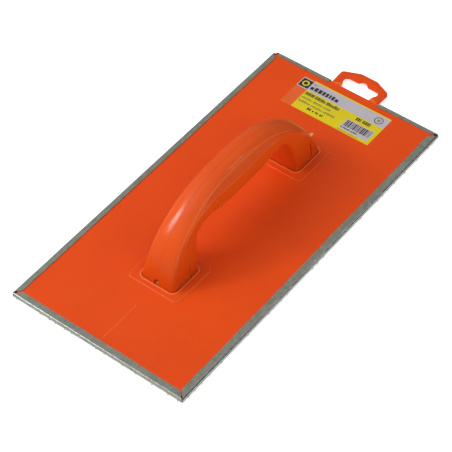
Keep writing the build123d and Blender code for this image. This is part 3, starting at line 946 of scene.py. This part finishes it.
def punch_teeth(bm):
    """All the teeth, in two staggered grids; their rings on the plate and the corners of their torn edges."""
    rings = []
    tips = []
    for less in (0, 1):
        columns, rows = (count - less for count in TOOTH_GRID)
        for i in range(columns):
            for j in range(rows):
                x = (i - (columns - 1) / 2) * TOOTH_PITCH[0]
                y = (j - (rows - 1) / 2) * TOOTH_PITCH[1]
                ring, tip = tooth(bm, x, y)
                rings.append(ring)
                tips.extend(tip)
    return rings, tips


def face_outwards(bm):
    """Turn the open skin's normals out of the sheet, which is down on the sole plate."""
    bmesh.ops.recalc_face_normals(bm, faces=bm.faces)
    lowest = min(bm.faces, key=lambda face: face.calc_center_median().z - face.calc_area())
    if lowest.normal.z > 0:
        bmesh.ops.reverse_faces(bm, faces=bm.faces)


def build_sheet():
    """Steel sheet: punched sole plate with torn teeth, folded up and over the board on all four sides."""
    bm = bmesh.new()
    boundary = []
    for outward, flange, *gaps in SIDES:
        line = rim_side(bm, outward, flange, gaps)
        end = line[-1].co
        corner = (math.copysign(HALF_X - BEND, end.x), math.copysign(HALF_Y - BEND, end.y), SOLE)
        boundary += [*line, bm.verts.new(corner)]
    rings, tips = punch_teeth(bm)
    fill(bm, boundary, rings)
    bm.verts.index_update()
    tip_indices = [vertex.index for vertex in tips]
    face_outwards(bm)
    sheet = link_mesh("punched_sheet", bm)
    thickness = sheet.vertex_groups.new(name="thickness")
    thickness.add(range(len(sheet.data.vertices)), 1.0, "REPLACE")
    thickness.add(tip_indices, TIP_THICKNESS, "REPLACE")
    solid = sheet.modifiers.new("thickness", "SOLIDIFY")
    solid.thickness = SHEET
    solid.offset = -1
    solid.vertex_group = "thickness"
    apply_modifiers(sheet)
    finishes = [STEEL, REFLECTING_WALL_STEEL, HIGHLIT_BEND_STEEL, BRIGHT_STEEL]
    finish_piece(sheet, finishes, "abrasive_sheet")


build_sheet()

# ---- Label ----------------------------------------------------------------------------------------

YELLOW, SILVER, DARK, GREY, SLATE, CLEAR = range(6)
MARGIN = 0.16  # from the label's edge to the print
CLEAR_WIDTH = 11.2  # clear film at the left
BAND = (1.3, 11.8)  # top and height of the silver band
TEXT_LEFT = 12.3
BARCODE = (60.4, 85.2)  # from left to right
INKS = (
    printed_film("label_yellow", rgb(232, 214, 22), rgb(214, 192, 18)),
    printed_film("label_silver", rgb(200, 192, 200), rgb(182, 178, 190)),
    printed_film("label_dark", rgb(38, 38, 36), rgb(60, 58, 52)),
    printed_film("label_grey", rgb(150, 142, 60), rgb(120, 116, 60)),
    printed_film("label_slate", rgb(74, 92, 116), rgb(96, 108, 128)),
    printed_film("label_clear", rgb(232, 92, 36), rgb(236, 120, 52), 0.24),
)


def block(left, top, width, height):
    """Outline of a printed block. Label places run right and down from its top left corner, as read."""
    x = label_high.x - top
    y = label_high.y - left
    return [Vector(corner) for corner in ((x - height, y), (x - height, y - width), (x, y - width), (x, y))]


def disc(left, top, radius):
    """Outline of a printed disc round a place on the label."""
    return circle(label_high.x - top, label_high.y - left, radius)


def greeked(left, top, height, words, letter, ink):
    """A line of plain blocks in place of words, given as counts of blocks."""
    art = []
    for count in words:
        for _ in range(count):
            width = letter * random.choice((0.55, 0.8, 0.8, 1.0))
            rise = height * random.choice((0.72, 1.0, 1.0))
            art.append((block(left, top + (height - rise), width, rise), ink))
            left += width + 0.28 * letter
        left += 0.7 * letter
    return art


def label_art():
    """All printed areas as (outline, ink), later ones over earlier ones."""
    length = label_high.x - label_low.x
    width = label_high.y - label_low.y
    art = [(block(CLEAR_WIDTH, MARGIN, width - CLEAR_WIDTH - MARGIN, length - 2 * MARGIN), YELLOW)]
    art += [(block(MARGIN, BAND[0], width - 2 * MARGIN, BAND[1]), SILVER)]
    art += [(block(0.9, 2.2, 9.9, 9.9), DARK)]
    art += [(disc(5.85, 7.15, radius), ink) for radius, ink in ((3.3, YELLOW), (1.9, DARK))]
    art += [(disc(81.6, 7.2, radius), ink) for radius, ink in ((4.1, SLATE), (3.2, SILVER), (1.5, GREY))]
    art += greeked(TEXT_LEFT, 3.4, 1.5, (5,), 0.75, GREY)
    art += greeked(TEXT_LEFT, 6.2, 4.6, (8,), 3.2, DARK)
    art += greeked(TEXT_LEFT, 14.6, 3.6, (7, 8, 10), 1.28, DARK)
    art += greeked(TEXT_LEFT, 20.8, 2.2, (8, 7, 5), 1.36, GREY)
    art += greeked(TEXT_LEFT, 25.2, 2.4, (8, 8, 8), 1.42, GREY)
    art += greeked(24.6, 29.6, 2.7, (2, 1, 2, 2), 1.75, DARK)
    art += greeked(65.0, 14.4, 3.8, (3, 5), 1.75, DARK)
    art += [(block(58.7, 20.7, 28.2, 12.6), SILVER)]
    left, right = BARCODE
    while left < right:
        stripe = random.choice((0.4, 0.6, 1.0, 1.3))
        art.append((block(left, 21.5, stripe, 7.6), DARK))
        left += stripe + random.choice((0.5, 0.7, 1.0))
    art += greeked(59.6, 30.4, 1.6, (1, 6, 6), 1.1, DARK)
    art += greeked(58.4, 34.2, 1.0, (12, 14), 0.72, GREY)
    return art


def build_label():
    """Printed film label: one thin solid whose top face is divided among the inks."""
    bm = bmesh.new()
    middle = (label_low + label_high) / 2
    length, width = label_high.x - label_low.x, label_high.y - label_low.y
    outline = [p + Vector((0, middle.y)) for p in rounded_rectangle(middle.x, (length, width, 0.5), 5)]
    bottom, top = stack(bm, outline, [(0, label_low.z), (0, label_high.z - 0.02), (-0.01, label_high.z)])
    fill(bm, bottom)
    art = label_art()
    rings = [[bm.verts.new((p.x, p.y, label_high.z)) for p in ring] for ring, _ in art]
    inks = [CLEAR] + [ink for _, ink in art]
    for triangle, inside in partition(bm, [top, *rings]):
        face = bm.faces.new(triangle)
        face.material_index = inks[max(inside)]
    bmesh.ops.delete(bm, geom=[v for v in bm.verts if not v.link_faces], context="VERTS")
    label = new_object("printed_label", bm)
    finish_piece(label, INKS, "label")


build_label()

# ---- Studio ---------------------------------------------------------------------------------------

CAMERA_ANGLES = (-50.306, 48.633, -2.235)  # azimuth, elevation and roll, in degrees
CAMERA_PLACE = (-0.74853, -0.61365, 1.08671)
CAMERA_LENS = 143.87
SENSOR_WIDTH = 36.0
FLOOR_LEVEL = -0.0002

# Rectangular lights: name, direction, distance, size, power and whether gloss mirrors them
LIGHTS = (
    ("key_left", (-0.48, 0.6, 0.63), 1.6, (0.32, 0.32), 4.5, True),
    ("top_left", (-0.3, 0.5, 0.81), 1.7, (1.5, 1.5), 14.5, False),
    ("fill_right", (-0.1, -0.66, 0.74), 2.2, (2.0, 2.0), 11, False),
    ("glint_right", (0.5, -0.6, 0.62), 1.8, (0.25, 0.25), 0.7, True),
    ("ridge_strip", (-0.1, -0.93, 0.33), 1.8, (0.7, 0.12), 1.1, True),
)


def build_floor():
    """Plain pale floor under the tooth tips."""
    material, tree, surface = new_material("studio_floor")
    tint = remap(tree, speckle(tree, 3, 2), 0.3, 0.7, 0, 1)
    pale = blend_colours(tree, tint, (0.95, 0.95, 0.95, 1), (0.97, 0.97, 0.97, 1))
    tree.links.new(pale, surface.inputs["Base Color"])
    surface.inputs["Roughness"].default_value = 0.9
    surface.inputs["Specular IOR Level"].default_value = 0.1
    surface.inputs["Emission Color"].default_value = (1, 1, 1, 1)
    surface.inputs["Emission Strength"].default_value = 0.6
    bm = bmesh.new()
    bmesh.ops.create_grid(bm, x_segments=4, y_segments=4, size=4.0)
    floor = link_mesh("floor", bm)
    floor.data.materials.append(material)
    floor.location.z = FLOOR_LEVEL
    floor.visible_glossy = False


def add_softbox(name, direction, distance, size, power, mirrored_in_gloss):
    """Rectangular white light that faces the float from a direction."""
    light = bpy.data.lights.new(name, "AREA")
    light.shape = "RECTANGLE"
    light.size, light.size_y = size
    light.energy = power
    lamp = bpy.data.objects.new(name, light)
    back = Vector(direction).normalized()
    lamp.location = back * distance
    lamp.rotation_euler = back.to_track_quat("Z", "Y").to_euler()
    lamp.visible_glossy = mirrored_in_gloss
    bpy.context.scene.collection.objects.link(lamp)


def add_camera():
    """Long lens from above the near right side, turned very slightly about its axis."""
    azimuth, elevation, roll = (math.radians(angle) for angle in CAMERA_ANGLES)
    along_floor = math.cos(elevation)
    back = Vector((math.sin(azimuth) * along_floor, -math.cos(azimuth) * along_floor, math.sin(elevation)))
    sideways = (-back).cross(Vector((0, 0, 1))).normalized()
    upright = sideways.cross(-back)
    right = math.cos(roll) * sideways + math.sin(roll) * upright
    up = math.cos(roll) * upright - math.sin(roll) * sideways
    data = bpy.data.cameras.new("camera")
    data.sensor_width = SENSOR_WIDTH
    data.lens = CAMERA_LENS
    data.clip_end = 20.0
    camera = bpy.data.objects.new("camera", data)
    pose = Matrix((right, up, back)).transposed().to_4x4()
    pose.translation = CAMERA_PLACE
    camera.matrix_world = pose
    bpy.context.scene.collection.objects.link(camera)
    bpy.context.scene.camera = camera


def add_world():
    """Surroundings that are bright overhead and far below, and dim near the horizon."""
    world = bpy.data.worlds.new("studio")
    world.use_nodes = True
    tree = world.node_tree
    where = add(tree, "ShaderNodeTexCoord").outputs["Generated"]
    side = add(tree, "ShaderNodeVectorMath", [(0, where), (1, (-0.2, 0.35, 0.91))], operation="DOT_PRODUCT")
    above = remap(tree, side.outputs["Value"], -0.3, 1.0, 0.04, 0.42)
    depth = add(tree, "ShaderNodeSeparateXYZ", [(0, where)]).outputs["Z"]
    below = remap(tree, depth, -0.72, -0.56, 0.8, 0.0)
    strength = add(tree, "ShaderNodeMath", [(0, above), (1, below)]).outputs[0]
    tree.links.new(strength, tree.nodes["Background"].inputs["Strength"])
    tree.nodes["Background"].inputs["Color"].default_value = (1, 1, 1, 1)
    bpy.context.scene.world = world


build_floor()
add_camera()
for light_row in LIGHTS:
    add_softbox(*light_row)
add_world()
bpy.context.scene.view_settings.view_transform = "Standard"

for material_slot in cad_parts["handle_screws"].material_slots:
    material_slot.material = ZINC
